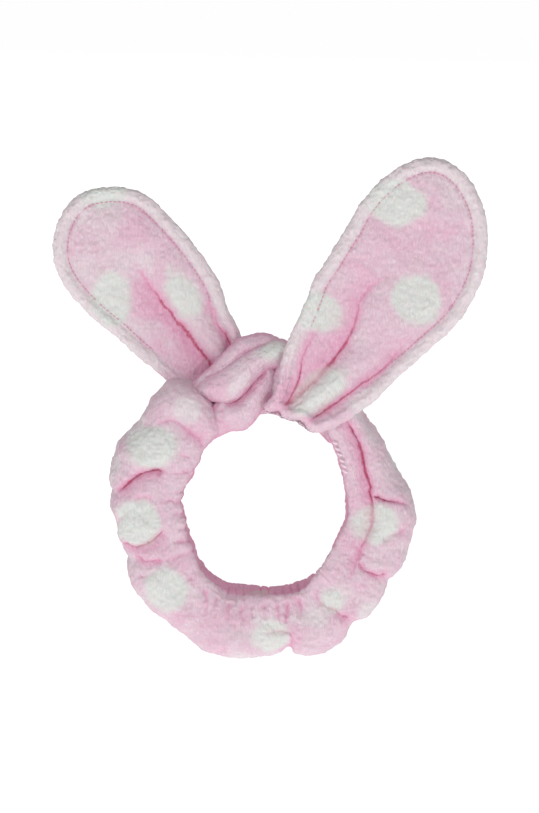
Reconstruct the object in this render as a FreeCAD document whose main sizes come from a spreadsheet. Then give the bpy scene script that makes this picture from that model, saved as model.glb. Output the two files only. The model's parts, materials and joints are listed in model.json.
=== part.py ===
"""Plush spa headband: a gathered elastic ring that grips the head, and a two-strand knot with two tall wired ears.

The origin is the centre of the head opening. +Z points up through the knot, -Y is the front, and the ring's axis is Y.
The ring is made of fleece casings (an outer and an inner panel, sewn at their edges) round a woven elastic.
Its lower half is the elastic back band, which slides down as the elastic stretches. Its upper half is two
shoulders that run into the knot. Each ear is a gathered neck tucked into the knot and a flat two-panel blade with
a topstitched rim, which holds a bendable wire.
"""

import FreeCAD, Part
import math
import os

import Sketcher

Vector = FreeCAD.Vector
Rotation = FreeCAD.Rotation
Placement = FreeCAD.Placement

# Driving dimensions, in millimetres and degrees. Each name is an alias in the spreadsheet.
DIMENSIONS = [
    ("inner_radius", 66, "relaxed head opening"),
    ("band_depth", 54, "how far the puffed ring stands out from the head"),
    ("band_width", 60, "front to back"),
    ("casing_wall", 4, "fleece with its pile"),
    ("inner_round", 10, "corner radius of the casing beside the head"),
    ("outer_round", 24, "corner radius of the casing away from the head"),
    ("panel_split", 18, "from the head to the seams between inner and outer panel"),
    ("left_end_angle", 128, "where the left shoulder meets the knot, from +X"),
    ("right_end_angle", 45, "where the right shoulder meets the knot, from +X"),
    ("knot_depth", 50, "how far the strand behind the knot stands out from the head"),
    ("knot_clear", 3, "how far the knot stays back from the head"),
    ("knot_front", 10, "front of the strand behind the knot"),
    ("knot_back", 36, "back of the strand behind the knot"),
    ("knot_round", 11, "corner radius of the strand behind the knot"),
    ("tuck_slack", 0.35, "room between a neck and the folds that it is tucked into"),
    ("seam_angle", 0.8, "how much of the ring a side seam takes"),
    ("split_angle", 0.2, "gap between the side seam and the back band"),
    ("elastic_width", 40, "woven elastic"),
    ("elastic_thick", 1.6, "woven elastic"),
    ("elastic_inset", 5, "from the head to the elastic"),
    ("elastic_end_angle", 3, "the elastic stops this far inside the casing's end"),
    ("tack_length", 6, "bar tack along the elastic"),
    ("tack_thick", 1.2, "bar tack"),
    ("seam_width", 3, "overlocked seam allowance"),
    ("seam_thick", 1.4, "overlocked seam allowance"),
    ("ear_thick", 9, "both panels of an ear"),
    ("rim_round", 3, "edge radius of an ear panel"),
    ("rim_width", 12, "from the ear's edge to its topstitch"),
    ("stitch_groove", 3, "width of the dent that the topstitch makes"),
    ("groove_depth", 1.2, "depth of that dent"),
    ("thread_width", 0.9, "topstitch thread"),
    ("thread_thick", 0.6, "topstitch thread"),
    ("wire_radius", 0.8, "bendable ear wire"),
    ("wire_inset", 6, "from the ear's edge to the middle of the wire"),
    ("channel_slack", 0.4, "room round the wire in its channel"),
    ("wire_corner", 3, "bend of the wire at the foot of the ear"),
    ("sleeve_radius", 1.9, "crimp that joins the wire's ends"),
    ("sleeve_length", 14, "crimp that joins the wire's ends"),
    ("tail_radius", 1.5, "twisted pair of wires in the ear's neck"),
    ("hinge_gap", 6, "bare wire between neck and blade, where an ear bends"),
    ("left_lean", -39.3, "left ear, from upright"),
    ("left_root_x", -40, "where the left ear turns in the knot"),
    ("left_root_y", 5, "mid-plane of the left ear"),
    ("left_root_z", 109, "where the left ear turns in the knot"),
    ("left_hinge", 24, "from the root to where the blade bends"),
    ("left_length", 177, "from the root to the tip"),
    ("left_half_width", 49, "at the widest"),
    ("left_foot", 33, "half the width at the foot of the blade"),
    ("left_neck_foot", 12, "half the width of the neck at the knot"),
    ("left_neck_top", 25, "half the width of the neck at its upper end"),
    ("right_lean", 31.9, "right ear, from upright"),
    ("right_root_x", 28, "where the right ear turns in the knot"),
    ("right_root_y", -35.5, "mid-plane of the right ear"),
    ("right_root_z", 82, "where the right ear turns in the knot"),
    ("right_hinge", 40, "from the root to where the blade bends"),
    ("right_length", 235, "from the root to the tip"),
    ("right_half_width", 57, "at the widest"),
    ("right_foot", 38, "half the width at the foot of the blade"),
    ("right_neck_foot", 12, "half the width of the neck at the knot"),
    ("right_neck_top", 32, "half the width of the neck at its upper end"),
]

# The knot's rolls of fleece: centre, slope in the XZ plane in degrees, and half length, half height, half depth.
KNOT_ROLLS = [
    ("knot_upper_strand", (-17, -11, 109), 24, (50, 20, 18)),
    ("knot_lower_strand", (-22, -8, 85), 40, (42, 17, 22)),
    ("knot_front_wrap", (34, -13, 80), -26, (37, 18, 20)),
]

doc = FreeCAD.newDocument("headband")
sheet = doc.addObject("Spreadsheet::Sheet", "Dimensions")
for row, (alias, value, note) in enumerate(DIMENSIONS, start=1):
    sheet.set(f"A{row}", alias)
    sheet.set(f"B{row}", str(value))
    sheet.set(f"C{row}", note)
    sheet.setAlias(f"B{row}", alias)
doc.recompute()

parts = []


known = {}


def size(expression):
    """The value now of an expression over the spreadsheet's aliases, worked out in a spare cell of the sheet."""
    if expression not in known:
        sheet.set("E1", f"={expression}")
        sheet.recompute()
        known[expression] = float(sheet.get("E1"))
    return known[expression]


def bound(expression):
    """The same expression as another object has to write it."""
    words, word = [], ""
    for letter in expression + " ":
        if letter.isalnum() or letter in "_.":
            word += letter
            continue
        words.append(f"Dimensions.{word}" if word[:1].isalpha() else word)
        words.append(letter)
        word = ""
    return "".join(words).strip()


def bind(obj, path, expression):
    obj.setExpression(path, bound(expression))


def keep(obj, label):
    """Marks an object as a sub-part that is written to its own file."""
    obj.Label = label
    parts.append(obj)
    return obj


def new_body(name):
    return doc.addObject("PartDesign::Body", name)


def new_sketch(body, name, role, offset=None):
    """A sketch on one of the body's own origin planes, moved along the plane's normal by an expression."""
    sketch = body.newObject("Sketcher::SketchObject", name)
    plane = next(f for f in body.Origin.OriginFeatures if f.Role == role)
    sketch.AttachmentSupport = [(plane, "")]
    sketch.MapMode = "FlatFace"
    if offset is not None:
        sketch.AttachmentOffset.Base.z = size(offset)
        bind(sketch, "AttachmentOffset.Base.z", offset)
    return sketch


def add_loop(sketch, corners):
    """Adds a closed loop. Each corner is (x, y, centre): expressions, where the edge that starts there is a short arc
    about that centre, or straight if the centre is None.
    """
    first = sketch.GeometryCount
    points = [Vector(size(x), size(y), 0) for x, y, _ in corners]
    count = len(corners)
    for i, (_, _, centre) in enumerate(corners):
        start, end = points[i], points[(i + 1) % count]
        if centre is None:
            sketch.addGeometry(Part.LineSegment(start, end))
            continue
        hub = Vector(size(centre[0]), size(centre[1]), 0)
        circle = Part.Circle(hub, Vector(0, 0, 1), (start - hub).Length)
        angles = [math.atan2(p.y - hub.y, p.x - hub.x) for p in (start, end)]
        if (angles[1] - angles[0]) % (2 * math.pi) > math.pi + 1e-9:
            angles.reverse()
        if angles[1] < angles[0]:
            angles[1] += 2 * math.pi
        sketch.addGeometry(Part.ArcOfCircle(circle, *angles))
    ends = []
    for i, point in enumerate(points):
        starts_here = (sketch.Geometry[first + i].StartPoint - point).Length < 1e-6
        ends.append((1, 2) if starts_here else (2, 1))
    for i in range(count):
        after = (i + 1) % count
        sketch.addConstraint(
            Sketcher.Constraint("Coincident", first + i, ends[i][1], first + after, ends[after][0])
        )
    for i, (x, y, centre) in enumerate(corners):
        dimension(sketch, "DistanceX", first + i, ends[i][0], x)
        dimension(sketch, "DistanceY", first + i, ends[i][0], y)
        if centre is not None:
            chord = points[(i + 1) % count] - points[i]
            steep = abs(chord.y) > abs(chord.x)
            kind, text = ("DistanceX", centre[0]) if steep else ("DistanceY", centre[1])
            dimension(sketch, kind, first + i, 3, text)


def dimension(sketch, kind, edge, point, expression):
    """Fixes one coordinate of a point in a sketch to an expression."""
    constraint = Sketcher.Constraint(kind, -1, 1, edge, point, size(expression))
    spot = sketch.addConstraint(constraint)
    bind(sketch, f"Constraints[{spot}]", expression)


# ---------------------------------------------------------------------------------------------- the ring


def casing_edge(depth, inset):
    """Where the casing's rounded section has its flats and corner centres, moved inwards by an inset.

    X is the radius from the ring's axis and Y the depth, front to back.
    """
    return {
        "near": f"inner_radius + {inset}",
        "far": f"inner_radius + {depth} - {inset}",
        "half": f"(band_width / 2 - {inset})",
        "near_hub": "inner_radius + inner_round",
        "far_hub": f"inner_radius + {depth} - outer_round",
        "near_half": "(band_width / 2 - inner_round)",
        "far_half": "(band_width / 2 - outer_round)",
        "split": "inner_radius + panel_split",
    }


def outer_path(edge):
    """The outer side of a casing from its front seam round to its back seam."""
    hub, half = edge["far_hub"], edge["far_half"]
    return [
        (edge["split"], f"-{edge['half']}", None),
        (hub, f"-{edge['half']}", (hub, f"-{half}")),
        (edge["far"], f"-{half}", None),
        (edge["far"], half, (hub, half)),
        (hub, edge["half"], None),
        (edge["split"], edge["half"], None),
    ]


def inner_path(edge):
    """The head's side of a casing from its back seam round to its front seam."""
    hub, half = edge["near_hub"], edge["near_half"]
    return [
        (edge["split"], edge["half"], None),
        (hub, edge["half"], (hub, half)),
        (edge["near"], half, None),
        (edge["near"], f"-{half}", (hub, f"-{half}")),
        (hub, f"-{edge['half']}", None),
        (edge["split"], f"-{edge['half']}", None),
    ]


def backwards(path):
    """The same path walked the other way: each arc's centre moves to the corner where the arc now starts."""
    points = [(x, y) for x, y, _ in reversed(path)]
    centres = [centre for _, _, centre in reversed(path[:-1])] + [None]
    return [(x, y, centre) for (x, y), centre in zip(points, centres)]


def outer_section(depth):
    """The outer panel's section: a U that opens towards the head."""
    return outer_path(casing_edge(depth, "0")) + backwards(
        outer_path(casing_edge(depth, "casing_wall"))
    )


def inner_section(depth):
    """The inner panel's section: a U that opens away from the head."""
    return inner_path(casing_edge(depth, "0")) + backwards(
        inner_path(casing_edge(depth, "casing_wall"))
    )


def whole_section(edge):
    """The casing's section without its hollow."""
    return outer_path(edge)[1:-1] + inner_path(edge)[1:-1]


def seam_section():
    """The overlocked allowance on the front seam, inside the casing."""
    front = "-(band_width / 2 - casing_wall)"
    middle = "inner_radius + panel_split"
    return [
        (f"{middle} - seam_width / 2", front, None),
        (f"{middle} + seam_width / 2", front, None),
        (f"{middle} + seam_width / 2", f"{front} + seam_thick", None),
        (f"{middle} - seam_width / 2", f"{front} + seam_thick", None),
    ]


def strip_section(near, thick, width):
    """A flat strip that lies on a cylinder round the head."""
    return [
        (near, f"-({width}) / 2", None),
        (f"{near} + {thick}", f"-({width}) / 2", None),
        (f"{near} + {thick}", f"({width}) / 2", None),
        (near, f"({width}) / 2", None),
    ]


def ring_piece(label, section, start, end, mirrored=False):
    """Turns a section about the ring's axis, from a start angle to an end angle, counted from +X towards +Z."""
    body = new_body(label)
    sketch = new_sketch(body, f"{label}_section", "XY_Plane")
    add_loop(sketch, section)
    turn = body.newObject("PartDesign::Revolution", f"{label}_turn")
    turn.Profile = sketch
    turn.ReferenceAxis = (sketch, ["V_Axis"])
    turn.Reversed = True
    turn.Angle = size(f"{end} - ({start})")
    bind(turn, "Angle", f"{end} - ({start})")
    body.Placement = Placement(Vector(), Rotation(Vector(0, 1, 0), -size(start)))
    if mirrored:
        doc.recompute()
        mirror = body.newObject("PartDesign::Mirrored", f"{label}_pair")
        mirror.Originals = [turn]
        plane = next(f for f in body.Origin.OriginFeatures if f.Role == "XZ_Plane")
        mirror.MirrorPlane = (plane, [""])
        body.Tip = mirror
    return keep(body, label)


BACK_START, BACK_END = "-180 + split_angle", "0 - split_angle"
LEFT_START, LEFT_END = "left_end_angle", "180 - seam_angle"
RIGHT_START, RIGHT_END = "seam_angle", "right_end_angle"

ring_piece("back_outer_panel", outer_section("band_depth"), BACK_START, BACK_END)
ring_piece("back_inner_panel", inner_section("band_depth"), BACK_START, BACK_END)
ring_piece("back_edge_seams", seam_section(), BACK_START, BACK_END, mirrored=True)
ring_piece(
    "elastic_strip",
    strip_section("inner_radius + elastic_inset", "elastic_thick", "elastic_width"),
    f"{BACK_START} + elastic_end_angle",
    f"{BACK_END} - elastic_end_angle",
)
TACK_ANGLE = "tack_length / (inner_radius + elastic_inset) * 57.3"
TACK = strip_section(
    "inner_radius + elastic_inset + elastic_thick", "tack_thick", "elastic_width - 6"
)
ring_piece(
    "left_elastic_tack",
    TACK,
    f"{BACK_START} + elastic_end_angle + 1",
    f"{BACK_START} + elastic_end_angle + 1 + {TACK_ANGLE}",
)
ring_piece(
    "right_elastic_tack",
    TACK,
    f"{BACK_END} - elastic_end_angle - 1 - {TACK_ANGLE}",
    f"{BACK_END} - elastic_end_angle - 1",
)
ring_piece("left_shoulder_outer_panel", outer_section("band_depth"), LEFT_START, LEFT_END)
ring_piece("left_shoulder_inner_panel", inner_section("band_depth"), LEFT_START, LEFT_END)
ring_piece("left_shoulder_edge_seams", seam_section(), LEFT_START, LEFT_END, mirrored=True)
ring_piece("right_shoulder_outer_panel", outer_section("band_depth"), RIGHT_START, RIGHT_END)
ring_piece("right_shoulder_inner_panel", inner_section("band_depth"), RIGHT_START, RIGHT_END)
ring_piece("right_shoulder_edge_seams", seam_section(), RIGHT_START, RIGHT_END, mirrored=True)


def side_seam(label, depth, start, end):
    """The seam that joins a shoulder to the back band: a ring of sewn fleece as thick as the casing's wall."""
    outside = add_solid_turn(f"{label}_outside", depth, "0", start, end)
    inside = add_solid_turn(f"{label}_inside", depth, "casing_wall", start, end)
    cut = doc.addObject("Part::Cut", label)
    cut.Base, cut.Tool = outside, inside
    return keep(cut, label)


def add_solid_turn(name, depth, inset, start, end):
    """The casing's whole section without its hollow, turned about the ring's axis."""
    body = new_body(name)
    sketch = new_sketch(body, f"{name}_section", "XY_Plane")
    add_loop(sketch, whole_section(casing_edge(depth, inset)))
    turn = body.newObject("PartDesign::Revolution", f"{name}_turn")
    turn.Profile = sketch
    turn.ReferenceAxis = (sketch, ["V_Axis"])
    turn.Reversed = True
    turn.Angle = size(f"{end} - ({start})")
    bind(turn, "Angle", f"{end} - ({start})")
    body.Placement = Placement(Vector(), Rotation(Vector(0, 1, 0), -size(start)))
    return body


side_seam("left_side_seam", "band_depth", LEFT_END, "180")
side_seam("right_side_seam", "band_depth", "0", RIGHT_START)


# ---------------------------------------------------------------------------------------------- the ears


def ear_frame(side):
    """The placement of an ear: its root at the origin, its length along Z and its width along X."""
    root = Vector(size(f"{side}_root_x"), size(f"{side}_root_y"), size(f"{side}_root_z"))
    return Placement(root, Rotation(Vector(0, 1, 0), size(f"{side}_lean")))


def side_radius(side, inset):
    """The radius of a blade's long side that runs smoothly into the round tip."""
    across = f"({side}_half_width - {side}_foot)"
    along = f"({side}_length - {side}_half_width - {side}_hinge - ({inset}))"
    return f"({across} * {across} + {along} * {along}) / (2 * {across})"


def blade_loop(side, inset):
    """The outline of an ear's blade, moved inwards by an inset: a round tip, two long sides and a straight foot."""
    wide = f"{side}_half_width - ({inset})"
    high = f"{side}_length - {side}_half_width"
    low = f"{side}_hinge + ({inset})"
    foot = f"{side}_foot - ({inset})"
    hub = f"{wide} - {side_radius(side, inset)}"
    return [
        (f"-({foot})", low, None),
        (foot, low, (hub, high)),
        (wide, high, ("0", high)),
        ("0", f"{high} + {wide}", ("0", high)),
        (f"-({wide})", high, (f"-({hub})", high)),
    ]


def padded_blade(name, side, offset, thick, insets):
    """A plate with the blade's outline, or a ring between two insets, padded from a sketch on the ear's plane."""
    body = new_body(name)
    sketch = new_sketch(body, f"{name}_outline", "XZ_Plane", offset)
    for inset in insets:
        add_loop(sketch, blade_loop(side, inset))
    pad = body.newObject("PartDesign::Pad", f"{name}_pad")
    pad.Profile = sketch
    pad.Length = size(thick)
    bind(pad, "Length", thick)
    doc.recompute()
    return body, pad


def edges_at(shape, depth):
    """The names of a shape's edges that lie wholly in the plane Y = depth."""
    return [
        f"Edge{i}"
        for i, edge in enumerate(shape.Edges, start=1)
        if all(abs(v.Point.y - depth) < 1e-4 for v in edge.Vertexes)
    ]


def pocket(body, name, side, offset, depth, insets, reverse):
    """Cuts a ring-shaped groove that follows the blade's outline."""
    sketch = new_sketch(body, f"{name}_outline", "XZ_Plane", offset)
    for inset in insets:
        add_loop(sketch, blade_loop(side, inset))
    before = body.Tip.Shape.Volume
    cut = body.newObject("PartDesign::Pocket", name)
    cut.Profile = sketch
    cut.Length = size(depth)
    bind(cut, "Length", depth)
    cut.Reversed = reverse
    doc.recompute()
    if cut.Shape.Volume > before - 1:
        raise ValueError(f"{name} cut nothing")
    return cut


def ear_panel(side, face):
    """One panel of an ear: rounded at its rim, dented along the topstitch, and hollowed for the wire's channel."""
    label = f"{side}_ear_{face}_panel"
    front = face == "front"
    # The plane's normal is -Y, so a positive offset lies towards the front.
    body, pad = padded_blade(
        label, side, "0" if front else "-ear_thick / 2", "ear_thick / 2", ["0"]
    )
    skin = size("-ear_thick / 2") if front else size("ear_thick / 2")
    rim = body.newObject("PartDesign::Fillet", f"{label}_rim")
    rim.Base = (pad, edges_at(pad.Shape, skin))
    rim.Radius = size("rim_round")
    bind(rim, "Radius", "rim_round")
    doc.recompute()
    pocket(
        body,
        f"{label}_stitch_dent",
        side,
        "ear_thick / 2" if front else "-ear_thick / 2",
        "groove_depth",
        ["rim_width - stitch_groove / 2", "rim_width + stitch_groove / 2"],
        not front,
    )
    pocket(
        body,
        f"{label}_wire_channel",
        side,
        "0",
        "sleeve_radius + channel_slack",
        ["wire_inset - sleeve_radius - channel_slack", "wire_inset + sleeve_radius + channel_slack"],
        front,
    )
    body.Placement = ear_frame(side)
    return keep(body, label)


def ear_topstitch(side):
    """The line of stitches inside the rim, on both faces of the ear, each lying in its dent."""
    threads = []
    for face, offset in (
        ("front", "ear_thick / 2 - groove_depth"),
        ("back", "-ear_thick / 2 + groove_depth - thread_thick"),
    ):
        body, _ = padded_blade(
            f"{side}_{face}_thread",
            side,
            offset,
            "thread_thick",
            ["rim_width - thread_width / 2", "rim_width + thread_width / 2"],
        )
        body.Placement = ear_frame(side)
        threads.append(body)
    both = doc.addObject("Part::Compound", f"{side}_ear_topstitch")
    both.Links = threads
    return keep(both, f"{side}_ear_topstitch")


def ear_wire(side):
    """The wire: one closed loop in the rim's channel, bent round at the foot of the ear, with a round section."""
    inset, bend = size("wire_inset"), size("wire_corner")
    wide = size(f"{side}_half_width") - inset
    high = size(f"{side}_length - {side}_half_width")
    low = size(f"{side}_hinge") + inset
    sweep = size(side_radius(side, "wire_inset"))
    hub = Vector(wide - sweep, 0, high)
    corner = Vector(0, 0, low + bend)
    corner.x = hub.x + math.sqrt((sweep - bend) ** 2 - (corner.z - hub.z) ** 2)
    leave = hub + (corner - hub).normalize() * sweep
    corner = Vector(corner.x, 0, low + bend)
    outward = ((leave - corner).normalize() + Vector(0, 0, -1)).normalize()
    halfway = hub + ((leave - hub) + (Vector(wide, 0, high) - hub)).normalize() * sweep

    def flip(point):
        return Vector(-point.x, point.y, point.z)

    foot, turn, shoulder = Vector(corner.x, 0, low), corner + outward * bend, Vector(wide, 0, high)
    edges = [
        Part.LineSegment(Vector(0, 0, low), foot),
        Part.Arc(foot, turn, leave),
        Part.Arc(leave, halfway, shoulder),
        Part.Arc(shoulder, Vector(0, 0, high + wide), flip(shoulder)),
        Part.Arc(flip(shoulder), flip(halfway), flip(leave)),
        Part.Arc(flip(leave), flip(turn), flip(foot)),
        Part.LineSegment(flip(foot), Vector(0, 0, low)),
    ]
    path = Part.Wire([edge.toShape() for edge in edges])
    circle = Part.Circle(Vector(0, 0, low), Vector(1, 0, 0), size("wire_radius"))
    wire = doc.addObject("Part::Feature", f"{side}_ear_wire")
    wire.Shape = path.makePipeShell([Part.Wire([circle.toShape()])], True, False)
    wire.Placement = ear_frame(side)
    return keep(wire, f"{side}_ear_wire")


def cylinder(name, radius, height, at, direction, frame):
    """A cylinder whose sizes are bound to the sheet, placed in an ear's own frame."""
    rod = doc.addObject("Part::Cylinder", name)
    rod.Radius, rod.Height = size(radius), size(height)
    bind(rod, "Radius", radius)
    bind(rod, "Height", height)
    rod.Placement = frame.multiply(Placement(at, Rotation(Vector(0, 0, 1), direction)))
    return rod


def ear_sleeve(side):
    """The crimp over the meeting ends of the wire, in the middle of the ear's foot."""
    frame = ear_frame(side)
    low = size(f"{side}_hinge + wire_inset")
    start = Vector(-size("sleeve_length / 2"), 0, low)
    along = Vector(1, 0, 0)
    tube = doc.addObject("Part::Cut", f"{side}_ear_wire_sleeve")
    tube.Base = cylinder(f"{side}_sleeve_rod", "sleeve_radius", "sleeve_length", start, along, frame)
    tube.Tool = cylinder(
        f"{side}_sleeve_bore", "wire_radius + 0.05", "sleeve_length", start, along, frame
    )
    return keep(tube, f"{side}_ear_wire_sleeve")


def ear_neck(side):
    """The gathered foot of the ear between the knot and the bend, and the twisted wire tail inside it."""
    frame = ear_frame(side)
    label = f"{side}_ear_neck"
    body = new_body(f"{label}_plate")
    sketch = new_sketch(body, f"{label}_outline", "XZ_Plane", "-ear_thick / 2")
    top = f"{side}_hinge - hinge_gap"
    add_loop(
        sketch,
        [
            (f"-{side}_neck_foot", "-4", None),
            (f"{side}_neck_foot", "-4", None),
            (f"{side}_neck_top", top, None),
            (f"-{side}_neck_top", top, None),
        ],
    )
    pad = body.newObject("PartDesign::Pad", f"{label}_pad")
    pad.Profile = sketch
    pad.Length = size("ear_thick")
    bind(pad, "Length", "ear_thick")
    doc.recompute()
    soft = body.newObject("PartDesign::Fillet", f"{label}_soft")
    half = size("ear_thick / 2")
    soft.Base = (pad, edges_at(pad.Shape, half) + edges_at(pad.Shape, -half))
    soft.Radius = size("rim_round")
    bind(soft, "Radius", "rim_round")
    body.Placement = frame
    up = Vector(0, 0, 1)
    bore = cylinder(f"{label}_bore", "tail_radius + 0.1", f"{side}_hinge", Vector(), up, frame)
    neck = doc.addObject("Part::Cut", label)
    neck.Base, neck.Tool = body, bore
    keep(neck, label)
    tail = cylinder(
        f"{side}_wire_tail", "tail_radius", f"{side}_hinge - 1.5", Vector(0, 0, 0.5), up, frame
    )
    return keep(tail, f"{side}_ear_wire_tail")


for side in ("left", "right"):
    ear_panel(side, "front")
    ear_panel(side, "back")
    ear_topstitch(side)
    ear_wire(side)
    ear_sleeve(side)
    ear_neck(side)


# ---------------------------------------------------------------------------------------------- the knot


def roll_blank(name, centre, slope, halves):
    """A plump roll of fleece, as an ellipsoid that lies along a slope in the XZ plane."""
    blank = doc.addObject("Part::Ellipsoid", f"{name}_blank")
    blank.Radius2, blank.Radius3, blank.Radius1 = halves[0], halves[2], halves[1]
    blank.Placement = Placement(Vector(*centre), Rotation(Vector(0, 1, 0), -slope))
    return blank


def knot_roll(name, centre, slope, halves, neighbours):
    """A roll of the knot, cut back from what it is pressed against."""
    roll = doc.addObject("Part::Cut", name)
    roll.Base = roll_blank(name, centre, slope, halves)
    press = doc.addObject("Part::MultiFuse", f"{name}_press")
    press.Shapes = neighbours
    roll.Tool = press
    return keep(roll, name)


def head_block():
    """The room that the head takes."""
    head = doc.addObject("Part::Cylinder", "head_block")
    head.Radius = size("inner_radius + knot_clear")
    bind(head, "Radius", "inner_radius + knot_clear")
    head.Height = size("band_width * 2")
    bind(head, "Height", "band_width * 2")
    middle = Vector(0, size("band_width"), 0)
    head.Placement = Placement(middle, Rotation(Vector(1, 0, 0), 90))
    return head


def neck_room(side):
    """The flat pocket between the folds in which an ear's neck is tucked, with room to swing."""
    room = doc.addObject("Part::Cylinder", f"{side}_neck_room")
    room.Radius = size(f"{side}_hinge + 8")
    bind(room, "Radius", f"{side}_hinge + 8")
    room.Height = size("ear_thick + 2 * tuck_slack")
    bind(room, "Height", "ear_thick + 2 * tuck_slack")
    root = ear_frame(side).Base
    room.Placement = Placement(
        root + Vector(0, size("ear_thick / 2 + tuck_slack"), 0), Rotation(Vector(1, 0, 0), 90)
    )
    return room


def rear_strand():
    """The strand that runs behind the knot, from one shoulder to the other."""
    near, far = "inner_radius + knot_clear", "inner_radius + knot_depth"
    hubs = (f"{near} + knot_round", f"{far} - knot_round")
    low, high = "knot_front + knot_round", "knot_back - knot_round"
    section = [
        (hubs[0], "knot_front", None),
        (hubs[1], "knot_front", (hubs[1], low)),
        (far, low, None),
        (far, high, (hubs[1], high)),
        (hubs[1], "knot_back", None),
        (hubs[0], "knot_back", (hubs[0], high)),
        (near, high, None),
        (near, low, (hubs[0], low)),
    ]
    return ring_piece("knot_rear_strand", section, RIGHT_END, LEFT_START)


def knot():
    """The rolls: each is cut by the shoulders, the head, the ears' pockets and the strands made before it."""
    blocks = [
        add_solid_turn("left_shoulder_block", "band_depth", "0", LEFT_START, "180"),
        add_solid_turn("right_shoulder_block", "band_depth", "0", "0", RIGHT_END),
        head_block(),
        neck_room("left"),
        neck_room("right"),
        rear_strand(),
    ]
    for name, centre, slope, halves in KNOT_ROLLS:
        blocks.append(knot_roll(name, centre, slope, halves, list(blocks)))


knot()
doc.recompute()

# ---------------------------------------------------------------------------------------------- output


def check_and_write():
    """Stops on any object that failed, then writes each sub-part to its own STEP file."""
    for obj in doc.Objects:
        if any(word in state for state in obj.State for word in ("Invalid", "Error")):
            raise ValueError(f"{obj.Name} failed: {obj.State}")
    os.makedirs("parts", exist_ok=True)
    for part in parts:
        shape = part.Shape
        if shape.isNull() or not shape.isValid() or not shape.Solids:
            raise ValueError(f"{part.Label} has no valid solid")
        box = shape.optimalBoundingBox(True, False)
        print(
            f"{part.Label}: {len(shape.Solids)} solid, {shape.Volume / 1000:.2f} cm3,"
            f" X {box.XMin:.1f} {box.XMax:.1f} Y {box.YMin:.1f} {box.YMax:.1f}"
            f" Z {box.ZMin:.1f} {box.ZMax:.1f}"
        )
        shape.exportStep(f"parts/{part.Label}.step")


check_and_write()
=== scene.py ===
import json
import math

import bmesh
import bpy
import numpy as np
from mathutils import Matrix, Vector


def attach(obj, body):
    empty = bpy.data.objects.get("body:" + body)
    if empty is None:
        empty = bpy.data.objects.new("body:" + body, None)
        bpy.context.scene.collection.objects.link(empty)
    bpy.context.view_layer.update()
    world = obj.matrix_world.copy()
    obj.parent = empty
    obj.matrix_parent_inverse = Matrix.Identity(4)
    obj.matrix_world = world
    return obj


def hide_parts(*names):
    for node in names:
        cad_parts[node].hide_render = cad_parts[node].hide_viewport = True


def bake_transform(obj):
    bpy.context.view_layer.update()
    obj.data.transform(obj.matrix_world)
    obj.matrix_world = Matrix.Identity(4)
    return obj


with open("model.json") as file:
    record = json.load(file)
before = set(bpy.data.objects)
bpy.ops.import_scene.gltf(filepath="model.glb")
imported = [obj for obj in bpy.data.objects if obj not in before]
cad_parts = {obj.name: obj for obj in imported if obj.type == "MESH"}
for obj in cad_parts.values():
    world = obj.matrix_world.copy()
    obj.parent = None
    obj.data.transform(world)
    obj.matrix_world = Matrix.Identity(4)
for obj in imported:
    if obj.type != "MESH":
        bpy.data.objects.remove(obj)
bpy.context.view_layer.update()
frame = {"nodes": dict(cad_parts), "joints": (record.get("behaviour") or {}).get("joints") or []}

MM = 0.001
ELEVATION = math.radians(12)  # the camera looks down on the ring by this much
CAMERA_DISTANCE = 4.0
VIEW_HEIGHT = 0.6504  # metres of the object's plane that the frame's long side covers
AIM = (3.6, 78.8)  # millimetres, in the camera's upright plane through the ring's centre
WELD = 0.02  # millimetres: points closer than this are joined
SLIVER = 0.005  # millimetres: edges shorter than this are dissolved
REST_SCALE = 0.1  # the rest place is kept in units of 10 mm
NO_DOT = 60.0  # millimetres to the nearest dot where there is none


# ---- small tools


VIEW_BACK = np.array([0.0, -math.cos(ELEVATION), math.sin(ELEVATION)])
VIEW_UP = np.array([0.0, math.sin(ELEVATION), math.cos(ELEVATION)])
VIEW_FROM = np.array([AIM[0], 0.0, AIM[1] / math.cos(ELEVATION)]) + VIEW_BACK * CAMERA_DISTANCE / MM


def unsee(x, zs, y):
    """The place at depth y that is seen at (x, zs) in the camera's upright plane through the ring's centre."""
    x, zs, y = np.broadcast_arrays(np.asarray(x, float), np.asarray(zs, float), np.asarray(y, float))
    ray = -VIEW_BACK * CAMERA_DISTANCE / MM + (zs - AIM[1])[..., None] * VIEW_UP
    ray[..., 0] += x - AIM[0]
    return VIEW_FROM + ray * ((y - VIEW_FROM[1]) / ray[..., 1])[..., None]


def seen(p):
    """Where a place is seen in the camera's upright plane."""
    d = p - VIEW_FROM
    scale = CAMERA_DISTANCE / MM / -(d @ VIEW_BACK)
    return np.stack([AIM[0] + d[..., 0] * scale, AIM[1] + (d @ VIEW_UP) * scale], -1)


def smooth(x, a, b):
    """A smooth step from 0 where x is a to 1 where x is b."""
    t = np.clip((x - a) / (b - a), 0, 1)
    return t * t * (3 - 2 * t)


def lattice(ix, iy, iz, seed):
    """A repeatable number between -1 and 1 for each lattice point."""
    h = (ix * 374761393 + iy * 668265263 + iz * 2147483647 + seed * 974634777) & 0xFFFFFFFF
    h = ((h ^ (h >> 13)) * 1274126177) & 0xFFFFFFFF
    h = ((h ^ (h >> 16)) * 2246822519) & 0xFFFFFFFF
    return ((h ^ (h >> 15)) & 0xFFFFFF) / float(0xFFFFFF) * 2 - 1


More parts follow.
